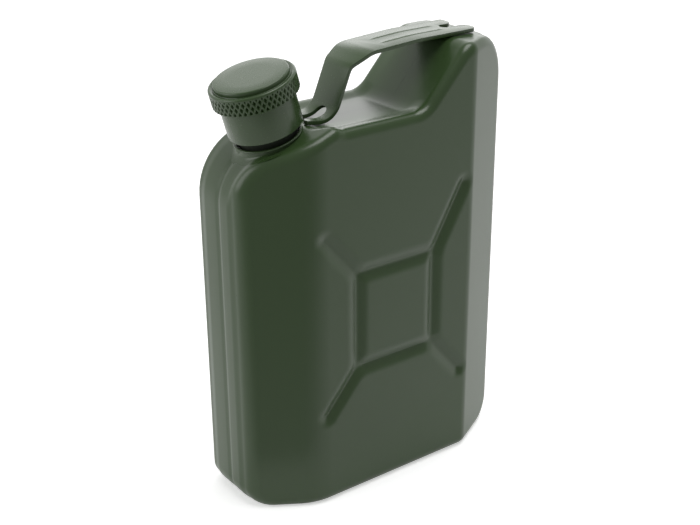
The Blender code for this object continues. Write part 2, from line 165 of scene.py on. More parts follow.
# Threads of the neck and of the liner
thread_pitch = 0.0025
thread_low = 0.0040
thread_bite = 0.00005
neck_thread_height = 0.00045
neck_thread_turns = 2.5
neck_thread_base = 0.0013
neck_thread_crest = 0.00045
liner_thread_height = 0.0004
liner_thread_turns = 2.2
liner_thread_base = 0.0012
liner_thread_crest = 0.0004

# Cap, with heights above the collar's rim
cap_bottom = 0.0019
cap_skirt_radius = 0.0090
cap_wall = 0.00085
cap_skirt_height = 0.0082
cap_top_thickness = 0.0010
skirt_edge = 0.0002
skirt_step = 0.00035
skirt_step_foot = 0.00032
skirt_step_drop = 0.00025
skirt_ring_radius = 0.00016
skirt_ring_offset = 0.00014
skirt_ring_drop = 0.00032
skirt_top_drop = 0.0006
band_radius = 0.0104
band_height = 0.0043
band_rim = 0.0005
band_foot = 0.00012
band_chamfer = 0.00045
knurl_count = 50
knurl_steps = 6
knurl_row_pitch = 0.0022
knurl_depth = 0.00065
knurl_land = 0.85
disc_radius = 0.0090
disc_rise = 0.0011
disc_edge = 0.00038
disc_flat_share = 0.6
disc_groove_radius = 0.00012
disc_groove_offset = 0.00014
disc_groove_drop = 0.00016
cap_groove_depth = 0.0002
liner_wall = 0.00075
liner_edge = 0.0002
liner_set_back = 0.0006
gasket_thickness = 0.0014
gasket_edge = 0.00025
mouth_print = 0.00006
mouth_print_outside = 0.00015
mouth_print_inside = 0.0001
mouth_print_slope = 0.00025
piece_gap = 0.0003

# Strap handle
strap_foot_width = 0.0098
strap_top_width = 0.0125
strap_flare_start = 0.0055
strap_flare_run = 0.0050
strap_flare_radius = 0.006
strap_thickness = 0.0009
strap_edge_radius = 0.00016
strap_tip_lift = 0.0006
strap_tip_offset = 0.0004
strap_heel_offset = 0.0036
strap_foot_run = 0.0075
strap_foot_radius = 0.006
strap_heel_radius = 0.004
strap_rise_angle = math.radians(67.5)
strap_knee_height = 0.0117
strap_knee_radius = 0.0035
strap_turn_run = 0.0052
strap_turn_rise = 0.0029
strap_turn_radius = 0.008
strap_rest_run = 0.0150
strap_rest_radius = 0.060
strap_hump_run = 0.0184
fork_slot_width = 0.0030
fork_slot_roundness = 0.98
fork_left_length = 0.0086
fork_left_near = 0.0008
fork_right_length = 0.0068
fork_short_prong = 0.0014
prong_outer_radius = 0.0006
prong_inner_radius = 0.0021
near_prong_radius = 0.0018
bead_spacing = 0.0043
bead_width = 0.0013
bead_height = 0.00015
bead_steps = 8
bead_start = 0.0036
bead_taper = 0.0025
taper_steps = 6

# Powder coat
sheen_change = 0.01

# Studio
paper_reach = 1.5
paper_front = -0.05
paper_turn = math.radians(-36.6)
paper_lift = 0.27
paper_white = 0.22
studio_dim = 0.30
studio_white = 0.8
dim_direction = (-0.40, -0.61, 0.68)
dim_start = 0.05
dim_end = 0.35
lamp_aim = (0.0, 0.0, 0.05)

# Values that follow
half_depth = body_depth / 2
shoulder_end_x = -body_left_reach + shoulder_run
shoulder_end_z = shoulder_height + shoulder_run * math.tan(shoulder_angle)
recess_left_x = shoulder_end_x + recess_step_run
recess_z = shoulder_end_z - recess_step
recess_right_x = recess_left_x + recess_run
hump_left_x = recess_right_x + (body_height - recess_z) / math.tan(recess_wall_angle)
neck_x = -body_left_reach + neck_inset
neck_z = shoulder_height + neck_inset * math.tan(shoulder_angle) + collar_stand
band_bottom = cap_bottom + cap_skirt_height
band_top = band_bottom + band_height
cap_top = band_top + disc_rise - cap_groove_depth
cap_ceiling = cap_top - cap_top_thickness
gasket_top = cap_ceiling - piece_gap
gasket_bottom = gasket_top - gasket_thickness
liner_outer = cap_skirt_radius - cap_wall - piece_gap
liner_inner = liner_outer - liner_wall

neck_place = Matrix.Translation((neck_x + body_x, 0.0, neck_z)) @ Matrix.Rotation(-neck_tilt, 4, "Y")
body_place = Matrix.Translation((body_x, 0.0, 0.0))


def linear(code):
    """Turns an sRGB hex colour into linear red, green, blue and alpha."""
    channels = [int(code[place:place + 2], 16) / 255 for place in (1, 3, 5)]
    return [c / 12.92 if c <= 0.04045 else ((c + 0.055) / 1.055) ** 2.4 for c in channels] + [1.0]


def add_node(material, kind, sockets=(), **settings):
    """Adds a node with its settings; a socket is given a value or the output that feeds it."""
    tree = material.node_tree
    node = tree.nodes.new(kind)
    for name, value in settings.items():
        setattr(node, name, value)
    for socket, value in sockets:
        if isinstance(value, bpy.types.NodeSocket):
            tree.links.new(value, node.inputs[socket])
        else:
            node.inputs[socket].default_value = value
    return node


def new_material(name, roughness, metallic=0.0):
    """Makes a material and returns it with its shader."""
    material = bpy.data.materials.new(name)
    material.use_nodes = True
    shader = material.node_tree.nodes["Principled BSDF"]
    shader.inputs["Roughness"].default_value = roughness
    shader.inputs["Metallic"].default_value = metallic
    return material, shader


def finish_surface(material, shader, pattern, tones, depth):
    """Lets a pattern mix two close tones and stand up by a small depth on a material's surface."""
    tone = add_node(material, "ShaderNodeMix", [
        ("Factor", pattern), ("A", linear(tones[0])), ("B", linear(tones[1]))], data_type="RGBA")
    relief = add_node(material, "ShaderNodeBump", [
        ("Height", pattern), ("Strength", 1.0), ("Distance", depth)])
    material.node_tree.links.new(tone.outputs["Result"], shader.inputs["Base Color"])
    material.node_tree.links.new(relief.outputs["Normal"], shader.inputs["Normal"])


def powder_coat(name, tones, grain_size, grain_depth, roughness):
    """Powder coat baked on pressed steel: one even colour under a fine orange peel, whose sheen
    differs a little from place to place, so that it looks soft and faintly mottled."""
    material, shader = new_material(name, roughness)
    place = add_node(material, "ShaderNodeTexCoord")
    peel = add_node(material, "ShaderNodeTexNoise", [
        ("Vector", place.outputs["Object"]), ("Scale", 1 / grain_size), ("Detail", 2.0)])
    sheen = add_node(material, "ShaderNodeMapRange", [
        ("Value", peel.outputs["Fac"]), ("From Min", 0.0), ("From Max", 1.0),
        ("To Min", roughness - sheen_change), ("To Max", roughness + sheen_change)])
    material.node_tree.links.new(sheen.outputs["Result"], shader.inputs["Roughness"])
    finish_surface(material, shader, peel.outputs["Fac"], tones, grain_depth)
    return material


def turned_metal(name, tones, line_spacing, line_depth, roughness):
    """Turned stainless steel: fine rings from the lathe tool round the neck's axis, which draw its
    highlight out into a band."""
    material, shader = new_material(name, roughness, 1.0)
    place = add_node(material, "ShaderNodeTexCoord")
    along = add_node(material, "ShaderNodeMapping", [
        ("Vector", place.outputs["Object"]), ("Location", neck_place.inverted().translation),
        ("Rotation", (0.0, neck_tilt, 0.0))])
    parts = add_node(material, "ShaderNodeSeparateXYZ", [("Vector", along.outputs["Vector"])])
    height = add_node(material, "ShaderNodeCombineXYZ", [("Z", parts.outputs["Z"])])
    rings = add_node(material, "ShaderNodeTexNoise", [
        ("Vector", height.outputs["Vector"]), ("Scale", 1 / line_spacing), ("Detail", 2.0)])
    finish_surface(material, shader, rings.outputs["Fac"], tones, line_depth)
    return material


def moulded(name, tones, grain_size, grain_depth, roughness):
    """Moulded polymer: an even colour with a faint matt skin from the mould's surface."""
    material, shader = new_material(name, roughness)
    place = add_node(material, "ShaderNodeTexCoord")
    skin = add_node(material, "ShaderNodeTexNoise", [
        ("Vector", place.outputs["Object"]), ("Scale", 1 / grain_size), ("Detail", 3.0)])
    finish_surface(material, shader, skin.outputs["Fac"], tones, grain_depth)
    return material


def rounded_path(corners, steps, inset=0.0, closed=True):
    """Points along straight runs with arcs at the corners, each corner being (across, up, radius).
    Where a run is too short for its two arcs, they share it."""
    count = len(corners)
    spots = [Vector(corner[:2]) for corner in corners]
    runs = [spots[(index + 1) % count] - spots[index] for index in range(count)]
    turns = []
    for index in range(count):
        arriving = runs[index - 1].normalized()
        leaving = runs[index].normalized()
        cross = arriving.x * leaving.y - arriving.y * leaving.x
        end = not closed and index in (0, count - 1)
        side = 1 if cross > 0 else -1
        turns.append((arriving, leaving, side, 0.0 if end else arriving.angle(leaving)))
    reaches = [corner[2] * math.tan(turn[3] / 2) for corner, turn in zip(corners, turns)]
    points = []
    for index, (arriving, leaving, side, angle) in enumerate(turns):
        inward = Vector((-arriving.y, arriving.x)) + Vector((-leaving.y, leaving.x))
        here = spots[index] + inward * inset / (1 + arriving.dot(leaving))
        if angle == 0:
            points.append(spots[index])
            continue
        before = runs[index - 1].length * corner_share / (reaches[index - 1] + reaches[index])
        after = runs[index].length * corner_share / (reaches[index] + reaches[(index + 1) % count])
        arc = max(corners[index][2] * min(before, after, 1) - side * inset, shell_thickness)
        start = here - arriving * arc * math.tan(angle / 2)
        centre = start + Vector((-arriving.y, arriving.x)) * side * arc
        spoke = start - centre
        for step in range(steps + 1):
            swing = Matrix.Rotation(side * angle * step / steps, 2)
            points.append(centre + swing @ spoke)
    return points


def body_outline(depth_share, face_share=0.0, inset=0.0, edge_corner=shoulder_radius):
    """Outline of the body in front view: 0 behind the face's edge, 1 at the seam, as (across, up)."""
    lip = recess_lip_height * (1 - depth_share)
    draft = side_draft * (1 - depth_share)
    shift = lip_end_shift * (1 - depth_share)
    left = -body_left_reach + draft
    right = body_right_reach - draft
    hump_radius = hump_left_radius + (hump_face_radius - hump_left_radius) * face_share
    left_radius = shoulder_radius + (edge_corner - shoulder_radius) * (1 - depth_share)
    shoulder_end = shoulder_end_z + shift * math.tan(shoulder_angle)
    corners = [
        (left, 0.0, base_left_radius),
        (right, 0.0, base_right_radius),
        (right, body_height - draft / 2, hump_right_radius),
        (hump_left_x + draft, body_height - draft / 2, hump_radius),
        (recess_right_x + draft, recess_z + lip, recess_foot_radius),
        (recess_left_x + shift, recess_z + lip, shoulder_end_radius),
        (shoulder_end_x + shift, shoulder_end, shoulder_end_radius),
        (left, shoulder_height - draft / 2, left_radius),
    ]
    return rounded_path(corners, corner_steps, inset)


def wing_bend(x):
    """Start, run, radius and angle of the bend on this side of the middle panel."""
    if x < 0:
        corner, angle, radius = wing_left_corner, wing_left_angle, wing_left_radius
    else:
        corner, angle, radius = wing_right_corner, wing_right_angle, wing_right_radius
    return corner - radius * math.tan(angle / 2), radius * math.sin(angle), radius, angle


def wing_offset(x):
    """How far the front face lies back from its middle plane at this distance from the centre line."""
    start, run, radius, angle = wing_bend(x)
    out = abs(x) - start
    if out <= 0:
        return 0.0
    if out <= run:
        return radius - math.sqrt(radius ** 2 - out ** 2)
    return radius * (1 - math.cos(angle)) + (out - run) * math.tan(angle)


def groove_strokes():
    """Valley lines of the pressed cross, as pairs of points: a square, and an arm from each corner."""
    left, right = -cross_half_width, cross_half_width
    ring = [
        Vector((left, cross_low)),
        Vector((right, cross_low)),
        Vector((right, cross_high)),
        Vector((left, cross_high)),
    ]
    reach = [
        (-arm_reach, -arm_drop),
        (arm_reach, -arm_drop),
        (arm_reach, arm_rise_right),
        (-arm_reach, arm_rise_left),
    ]
    strokes = [(ring[i - 1], ring[i]) for i in range(len(ring))]
    strokes += [(corner, corner + Vector(step)) for corner, step in zip(ring, reach)]
    return strokes


def groove_at(x, z, strokes):
    """Depth of the pressed groove: straight slopes to a narrow rounded valley, and soft outer edges."""
    point = Vector((x, z))
    nearest = groove_half_width * 2
    for start, end in strokes:
        along = end - start
        share = max(0.0, min(1.0, (point - start).dot(along) / along.length_squared))
        reach = (point - start - along * share).length
        blend = max(0.0, 1 - abs(reach - nearest) / groove_blend)
        nearest = min(nearest, reach) - blend * blend * groove_blend / 4
    out = max(0.0, min(1.0, nearest / groove_half_width))
    if out < groove_valley:
        out = (out * out / groove_valley + groove_valley) / 2
    if out > 1 - groove_soft:
        rest = (1 - out) / groove_soft
        return groove_depth * groove_soft / 2 * rest * rest / (1 - groove_soft / 2)
    return groove_depth * (1 - out - groove_soft / 2) / (1 - groove_soft / 2)


def cut_faces(mesh, faces, point, normal):
    """Cuts the given faces along the line through the point, seen from the front, and returns them."""
    edges = {edge for face in faces for edge in face.edges}
    verts = {vert for face in faces for vert in face.verts}
    made = bmesh.ops.bisect_plane(
        mesh, geom=list(faces) + list(edges) + list(verts), dist=hair / 100,
        plane_co=(point[0], 0.0, point[1]), plane_no=(normal[0], 0.0, normal[1]))
    return [part for part in made["geom"] if isinstance(part, bmesh.types.BMFace)]


def smooth_step(share):
    """Eases a share from 0 to 1, level at both ends."""
    share = max(0.0, min(1.0, share))
    return share * share * (3 - 2 * share)


def seam_share_at(spot):
    """How much of the ground trough over the weld is left here: none in the grip recess, where the
    weld is dressed flush, and all of it at the sides."""
    past_hump = spot.x - hump_left_x - dressed_past_hump
    out = max(shoulder_end_x - spot.x, past_hump, body_height / 2 - spot.y)
    return smooth_step(out / dressed_fade)


def tray_rings(front):
    """Rings of a shell from its face to its seam, as (depth, inset, depth share, face share)."""
    edge = edge_radius if front else back_edge_radius
    rings = [(0.0, edge + face_margin, 0.0, 1.0)]
    for step in range(fillet_steps + 1):
        turn = math.pi / 2 * step / fillet_steps
        inset = edge * (1 - math.sin(turn))
        rings.append((edge * (1 - math.cos(turn)), inset, 0.0, 1 - step / fillet_steps))
    for step in range(1, lip_steps + 1):
        share = step / lip_steps
        rings.append((edge + recess_lip_width * share, 0.0, smooth_step(share), 0.0))
    flat = half_depth - seam_trough_width
    rings += [((flat + edge + recess_lip_width) / 2, 0.0, 1.0, 0.0), (flat, 0.0, 1.0, 0.0)]
    for share in (0.25, 0.5, 0.75, 1.0):
        depth = flat + seam_trough_width * share
        rings.append((depth, seam_trough_depth * smooth_step(share), 1.0, 0.0))
    return rings


def tray_mesh(front):
    """Open tray with a flat face, from its rings bridged one to the next."""
    mesh = bmesh.new()
    corner = shoulder_front_radius if front else shoulder_radius
    loops = []
    for depth, inset, depth_share, face_share in tray_rings(front):
        outline = body_outline(depth_share, face_share, inset, corner)
        if depth > half_depth - seam_trough_width:
            flush = body_outline(depth_share, face_share, 0.0, corner)
            outline = [level.lerp(sunk, seam_share_at(level)) for level, sunk in zip(flush, outline)]
        loop = [mesh.verts.new((x, depth, z)) for x, z in outline]
        loops.append([mesh.edges.new((loop[i - 1], loop[i])) for i in range(len(loop))])
    bmesh.ops.contextual_create(mesh, geom=loops[0])
    for inner, outer in zip(loops, loops[1:]):
        bmesh.ops.bridge_loops(mesh, edges=inner + outer)
    return mesh


def cut_bends(mesh):
    """Cuts a tray up and down along both bends between its middle panel and its wings."""
    for side in (-1, 1):
        start, run = wing_bend(side)[:2]
        stops = [start - bend_margin]
        stops += [start + run * step / bend_steps for step in range(bend_steps + 1)]
        stops.append(start + run + bend_margin)
        for stop in stops:
            cut_faces(mesh, list(mesh.faces), (side * stop, 0.0), (1, 0))


def faces_under_cross(mesh, reach, low, high):
    """The faces of the flat panel that lie within the cross's reach."""
    inside = []
    for face in mesh.faces:
        spot = face.calc_center_median()
        if abs(spot.y) < hair and abs(spot.x) < reach and low < spot.z < high:
            inside.append(face)
    return inside


def cut_cross_grid(mesh):
    """Cuts the face behind the pressed cross into a fine grid."""
    reach = cross_half_width + arm_reach + groove_half_width
    low = cross_low - arm_drop - groove_half_width
    high = cross_high + arm_rise_right + groove_half_width
    for point, normal in (((reach, 0.0), (1, 0)), ((-reach, 0.0), (1, 0)), ((0.0, low), (0, 1)),
                          ((0.0, high), (0, 1))):
        flat_faces = [f for f in mesh.faces if all(abs(v.co.y) < hair for v in f.verts)]
        cut_faces(mesh, flat_faces, point, normal)
    columns = round(reach * 2 / groove_mesh)
    strip = faces_under_cross(mesh, reach, low, high)
    for step in range(1, columns):
        x = -reach + reach * 2 * step / columns
        strip = [f for f in cut_faces(mesh, strip, (x, 0.0), (1, 0)) if f.calc_center_median().x > x]
    rows = round((high - low) / groove_mesh)
    strip = faces_under_cross(mesh, reach, low, high)
    for step in range(1, rows):
        z = low + (high - low) * step / rows
        strip = [f for f in cut_faces(mesh, strip, (0.0, z), (0, 1)) if f.calc_center_median().z > z]


def shell_mesh(front):
    """Half of the body as an open pressed tray: face, rounded edge, flange and seam."""
    mesh = tray_mesh(front)
    cut_bends(mesh)
    cut_cross_grid(mesh)
    edge = edge_radius if front else back_edge_radius
    inward = 1 if front else -1
    strokes = groove_strokes()
    # Up to here y is the depth behind the face. Now each point gets its place between face and seam.
    for vert in mesh.verts:
        x, depth, z = vert.co
        face = -half_depth + wing_offset(x) if front else half_depth
        if depth <= edge:
            pressed = groove_at(x, z, strokes) if depth < hair else 0.0
            vert.co.y = face + inward * (depth + pressed)
        else:
            flange_start = face + inward * edge
            flange_end = wing_offset(x) * seam_share - inward * seam_gap / 2
            share = (depth - edge) / (half_depth - edge)
            vert.co.y = flange_start + (flange_end - flange_start) * share

    bmesh.ops.remove_doubles(mesh, verts=mesh.verts, dist=merge_gap)
    bmesh.ops.recalc_face_normals(mesh, faces=mesh.faces)
    panel = max(mesh.faces, key=lambda face: abs(face.normal.y) * face.calc_area())
    if (panel.normal.y > 0) == front:
        bmesh.ops.reverse_faces(mesh, faces=mesh.faces)
    return mesh


def finish_mesh(mesh, name, place, material, sharp=sharp_edge):
    """Places the mesh, makes its object and shades it smooth up to the sharp edges."""
    mesh.transform(place)
    data = bpy.data.meshes.new(name)
    mesh.to_mesh(data)
    mesh.free()
    data.materials.append(material)
    thing = bpy.data.objects.new(name, data)
    bpy.context.scene.collection.objects.link(thing)
    data.shade_smooth()
    data.set_sharp_from_angle(angle=sharp)
    return thing


def turned_mesh(profile, steps=round_steps):
    """Closed profile of (radius, height) points, top to bottom on its outer side, turned round Z."""
    mesh = bmesh.new()
    verts = [mesh.verts.new((radius, 0.0, height)) for radius, height in profile]
    edges = [mesh.edges.new(pair) for pair in zip(verts, verts[1:])]
    if profile[0][0] > 0:
        edges.append(mesh.edges.new((verts[-1], verts[0])))
    bmesh.ops.spin(
        mesh, geom=verts + edges, cent=(0, 0, 0), axis=(0, 0, 1), angle=math.tau, steps=steps,
        use_merge=True)
    bmesh.ops.remove_doubles(mesh, verts=mesh.verts, dist=merge_gap)
    bmesh.ops.recalc_face_normals(mesh, faces=mesh.faces)
    return mesh


def make_shell(name, node, front, material):
    """One pressed shell with its wall and its share of the opening for the collar."""
    shell = finish_mesh(shell_mesh(front), name, body_place, material)
    wall = shell.modifiers.new("Wall", "SOLIDIFY")
    wall.thickness = shell_thickness
    wall.offset = -1
    wall.use_even_offset = True
    drill = finish_mesh(turned_mesh([
        (0.0, drill_top),
        (collar_radius, drill_top),
        (collar_radius, drill_bottom),
        (0.0, drill_bottom),
    ]), name + "_drill", neck_place, material)
    hole = shell.modifiers.new("Neck opening", "BOOLEAN")
    hole.operation = "DIFFERENCE"
    hole.solver = "MANIFOLD"
    hole.object = drill
    bpy.context.view_layer.update()
    depsgraph = bpy.context.evaluated_depsgraph_get()
    data = bpy.data.meshes.new_from_object(shell.evaluated_get(depsgraph))
    shell.modifiers.clear()
    shell.data = data
    bpy.data.objects.remove(drill, do_unlink=True)
    data.shade_smooth()
    data.set_sharp_from_angle(angle=sharp_edge)
    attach(shell, "can")
    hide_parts(node)


def arc_points(centre, radius, start, end, steps):
    """Points on an arc as (radius, height), angles in degrees from the outward direction."""
    points = []
    for step in range(steps + 1):
        turn = math.radians(start + (end - start) * step / steps)
        points.append((centre[0] + radius * math.cos(turn), centre[1] + radius * math.sin(turn)))
    return points


def shoulder_skin(depth_share, edge_corner=shoulder_radius):
    """The body's outline over the shoulder, from left to right, as (across, up) points."""
    outline = body_outline(depth_share, edge_corner=edge_corner)
    return sorted((x, z) for x, z in outline if z > body_height / 2 and x < recess_left_x)


def shoulder_share(x, y):
    """Depth share of the body's outline at this spot on the shoulder, as the shells are laid out."""
    seam = wing_offset(x) * seam_share
    if y < seam:
        edge = edge_radius
        start = wing_offset(x) - half_depth + edge
    else:
        edge = back_edge_radius
        start = half_depth - edge
    return smooth_step((y - start) / (seam - start) * (half_depth - edge) / recess_lip_width)


def skin_height(skin, angle, radius):
    """Height of the shoulder's skin along the neck's axis, at an angle and radius round that axis."""
    low, high = skin_search
    for _ in range(skin_halvings):
        middle = (low + high) / 2
        spot = neck_place @ Vector((radius * math.cos(angle), radius * math.sin(angle), middle))
        x = spot.x - body_x
        level = skin[0][1]
        for (x0, z0), (x1, z1) in zip(skin, skin[1:]):
            if x0 <= x <= x1 and x1 > x0:
                level = z0 + (z1 - z0) * (x - x0) / (x1 - x0)
        if spot.z > level:
            high = middle
        else:
            low = middle
    return low


def collar_profile():
    """Section of the collar as (radius, height). Below the lip, each height only numbers a ring of the
    flare: 0 at its top, flare_rings at its foot, and one more for the edge tucked under the skin."""
    wall = collar_radius - lip_overhang
    foot = collar_radius + flare_width
    inner = collar_radius - lip_width
    profile = [(collar_radius - collar_foot_inset, -collar_height), (inner, -collar_height)]
    profile += arc_points((inner + lip_inner_edge, -lip_inner_edge), lip_inner_edge, 180, 90, 5)
    profile += arc_points((collar_radius - lip_outer_edge, -lip_outer_edge), lip_outer_edge, 90, -70, 8)
    profile += [(wall, -lip_depth), (wall, -lip_wall_end)]
    for ring in range(flare_rings + 1):
        radius = wall + (foot - wall) * (ring / flare_rings) ** flare_spacing
        profile.append((radius, first_flare_mark - ring * millimetre))
    profile.append((foot - flare_tuck_in, first_flare_mark - (flare_rings + 1) * millimetre))
    return profile


def make_collar(material):
    """Collar: a thin flat lip round a shallow well, on metal drawn up from the shoulder in a flare."""
    wall = collar_radius - lip_overhang
    mesh = turned_mesh(collar_profile())
    front_skin = shoulder_skin(0.0, shoulder_front_radius)
    back_skin = shoulder_skin(0.0)
    middle = shoulder_skin(1.0)
    for vert in mesh.verts:
        if vert.co.z > first_flare_mark + 0.1 * millimetre:
            continue
        ring = round((first_flare_mark - vert.co.z) / millimetre)
        radius = math.hypot(vert.co.x, vert.co.y)
        angle = math.atan2(vert.co.y, vert.co.x)
        leftward = max(0.0, -math.cos(angle))
        radius = wall + (radius - wall) * (1 + flare_left_spread * leftward)
        level = skin_height(middle, angle, radius)
        spot = neck_place @ Vector((radius * math.cos(angle), radius * math.sin(angle), level))
        outer = front_skin if math.sin(angle) < 0 else back_skin
        sunk = 1 - shoulder_share(spot.x - body_x, spot.y)
        level += (skin_height(outer, angle, radius) - level) * sunk
        if ring > flare_rings:
            vert.co.z = level - flare_tuck_under
        else:
            share = ring / flare_rings
            top = -flare_top - flare_left_drop * leftward
            climb = max(0.0, top - skin_height(middle, angle, wall))
            vert.co.z = level + climb * (1 - share) ** flare_curve - flare_sink * share
        vert.co.x = radius * math.cos(angle)
        vert.co.y = radius * math.sin(angle)
    bmesh.ops.recalc_face_normals(mesh, faces=mesh.faces)
    collar = finish_mesh(mesh, "neck_collar_rolled", neck_place, material, collar_sharp_edge)
    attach(collar, "can")
    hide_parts("neck_collar")


def make_well(material):
    """Well between the lip and the neck, and the sleeve at the neck's root, below the thread."""
    neck = neck_radius + sleeve_gap
    sleeve = neck_radius + sleeve_wall
    wall = collar_radius - well_inset
    profile = [
        (wall, -well_top_drop),
        (wall, -collar_height),
        (neck, -collar_height),
        (neck, sleeve_top),
        (sleeve - sleeve_edge, sleeve_top),
        (sleeve, sleeve_top - sleeve_edge),
        (sleeve, -well_depth),
        (wall - well_corner, -well_depth),
        (wall - well_corner / 2, -well_depth + well_corner / 5),
    ]
    well = finish_mesh(turned_mesh(profile), "collar_well", neck_place, material)
    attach(well, "can")


def helix_ridge(root_radius, crest_radius, low, turns, base_width, crest_width):
    """Closed thread ridge swept round Z, faded into its root at both ends; the crest may lie inside
    or outside the root."""
    mesh = bmesh.new()
    corners = [
        (root_radius, -base_width / 2),
        (crest_radius, -crest_width / 2),
        (crest_radius, crest_width / 2),
        (root_radius, base_width / 2),
    ]
    verts = [mesh.verts.new((radius, 0.0, low + height)) for radius, height in corners]
    edges = [mesh.edges.new((verts[i - 1], verts[i])) for i in range(len(verts))]
    mesh.faces.new(verts)
    made = bmesh.ops.spin(
        mesh, geom=verts + edges, cent=(0, 0, 0), axis=(0, 0, 1), angle=math.tau * turns,
        dvec=(0, 0, thread_pitch / thread_steps), steps=round(turns * thread_steps))
    last = [part for part in made["geom_last"] if isinstance(part, bmesh.types.BMVert)]
    rim = [part for part in made["geom_last"] if isinstance(part, bmesh.types.BMEdge)]
    bmesh.ops.contextual_create(mesh, geom=last + rim)
    for vert in verts + last:
        radius = math.hypot(vert.co.x, vert.co.y)
        vert.co.x *= root_radius / radius
        vert.co.y *= root_radius / radius
    bmesh.ops.recalc_face_normals(mesh, faces=mesh.faces)
    return mesh


def make_neck(material):
    """Turned neck tube with a rounded mouth, and the external thread that the cap runs on."""
    inner = neck_radius - neck_wall
    lip = neck_wall / 2
    profile = arc_points((neck_radius - lip, neck_height - lip), lip, 180, 0, 8)
    profile += [(neck_radius, -collar_height), (inner, -collar_height)]
    tube = finish_mesh(turned_mesh(profile), "neck_tube", neck_place, material)
    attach(tube, "can")
    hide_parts("threaded_neck")
    ridge = helix_ridge(neck_radius - thread_bite, neck_radius + neck_thread_height, thread_low,
                        neck_thread_turns, neck_thread_base, neck_thread_crest)
    thread = finish_mesh(ridge, "neck_thread", neck_place, material)
    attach(thread, "can")


def knurl_height(column, row):
    """Height share of the crossed raised lines at a grid point, falling to a pit between them."""
    first = (column + row) % knurl_steps
    second = (column - row) % knurl_steps
    near = min(first, knurl_steps - first, second, knurl_steps - second)
    return 1.0 - max(0.0, near - knurl_land) / (knurl_steps / 2 - knurl_land)


def cap_profile(band_low, band_high, rows):
    """Section of the cap as (radius, height): disc, groove, rim, knurled band, skirt and inside."""
    inner = cap_skirt_radius - cap_wall
    groove_z = band_top - disc_groove_drop
    ring_z = band_bottom - skirt_ring_drop
    profile = [(0.0, cap_top), (disc_radius * disc_flat_share, cap_top)]
    profile += arc_points((disc_radius - disc_edge, cap_top - disc_edge), disc_edge, 86, 4, 8)
    profile += [(disc_radius, groove_z)]
    profile += arc_points((disc_radius + disc_groove_offset, groove_z), disc_groove_radius, 200, 340, 5)
    profile += arc_points((band_radius - band_rim, band_top - band_rim), band_rim, 100, 0, 8)
    for row in range(rows + 1):
        profile.append((band_radius, band_high - (band_high - band_low) * row / rows))
    profile += [
        (band_radius - band_chamfer, band_bottom),
        (cap_skirt_radius + skirt_step, band_bottom),
        (cap_skirt_radius + skirt_step_foot, band_bottom - skirt_step_drop),
    ]
    profile += arc_points((cap_skirt_radius + skirt_ring_offset, ring_z), skirt_ring_radius, 0, -60, 4)
    profile += [(cap_skirt_radius, band_bottom - skirt_top_drop)]
    profile += arc_points(
        (cap_skirt_radius - skirt_edge, cap_bottom + skirt_edge), skirt_edge, 0, -90, 4)
    profile += [(inner, cap_bottom), (inner, cap_ceiling), (0.0, cap_ceiling)]
    return profile


def make_cap(material):
    """Turned cap: smooth skirt, a band with pressed diamond knurling, and a raised disc on top."""
    columns = knurl_count * knurl_steps
    band_low = band_bottom + band_foot
    band_high = band_top - band_rim
    rows = round((band_high - band_low) / knurl_row_pitch * knurl_steps)
    mesh = turned_mesh(cap_profile(band_low, band_high, rows), columns)
    for vert in mesh.verts:
        radius = math.hypot(vert.co.x, vert.co.y)
        row = (band_high - vert.co.z) / (band_high - band_low) * rows
        if radius > band_radius - 10 * hair and 0.5 < row < rows + 0.01:
            column = round(math.atan2(vert.co.y, vert.co.x) / math.tau * columns)
            drop = knurl_depth * (1 - knurl_height(column, round(row))) / band_radius
            vert.co.x *= 1 - drop
            vert.co.y *= 1 - drop
    # A knurled face is split between its two corners nearer in height, so that the lines stay straight.
    band_floor = band_radius - knurl_depth * 1.1
    for face in list(mesh.faces):
        spots = list(face.verts)
        radii = [math.hypot(v.co.x, v.co.y) for v in spots]
        if len(spots) != 4 or min(radii) < band_floor:
            continue
        first = abs(radii[0] - radii[2]) <= abs(radii[1] - radii[3])
        bmesh.utils.face_split(face, spots[0 if first else 1], spots[2 if first else 3])
    cap = finish_mesh(mesh, "cap_knurled", neck_place, material, knurl_sharp_edge)
    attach(cap, "cap")
    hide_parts("cap_shell")


def make_liner(material):
    """Moulded plastic liner pressed into the cap, with the internal thread."""
    low = cap_bottom + liner_set_back
    profile = [
        (liner_inner, gasket_top),
        (liner_outer, gasket_top),
        (liner_outer, low + liner_edge),
        (liner_outer - liner_edge, low),
        (liner_inner + liner_edge, low),
        (liner_inner, low + liner_edge),
    ]
    liner = finish_mesh(turned_mesh(profile), "cap_liner_moulded", neck_place, material)
    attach(liner, "cap")
    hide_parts("cap_liner")
    ridge = helix_ridge(liner_inner + thread_bite, liner_inner - liner_thread_height,
                        thread_low + thread_pitch / 2, liner_thread_turns, liner_thread_base,
                        liner_thread_crest)
    thread = finish_mesh(ridge, "liner_thread", neck_place, material)
    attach(thread, "cap")


def make_gasket(material):
    """Silicone disc in the cap's crown, with a softened rim and the ring that the mouth presses in."""
    radius = liner_inner - piece_gap
    edge = gasket_edge
    bore = neck_radius - neck_wall
    profile = [(0.0, gasket_top), (radius - edge, gasket_top)]
    profile += arc_points((radius - edge, gasket_bottom + edge), edge, 90, -90, 6)[3:]
    profile += [
        (neck_radius + mouth_print_outside, gasket_bottom),
        (neck_radius - mouth_print_inside, gasket_bottom + mouth_print),
        (bore, gasket_bottom + mouth_print),
        (bore - mouth_print_slope, gasket_bottom),
        (0.0, gasket_bottom),
    ]
    gasket = finish_mesh(turned_mesh(profile), "gasket_disc", neck_place, material)
    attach(gasket, "cap_seal")
    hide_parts("cap_gasket")


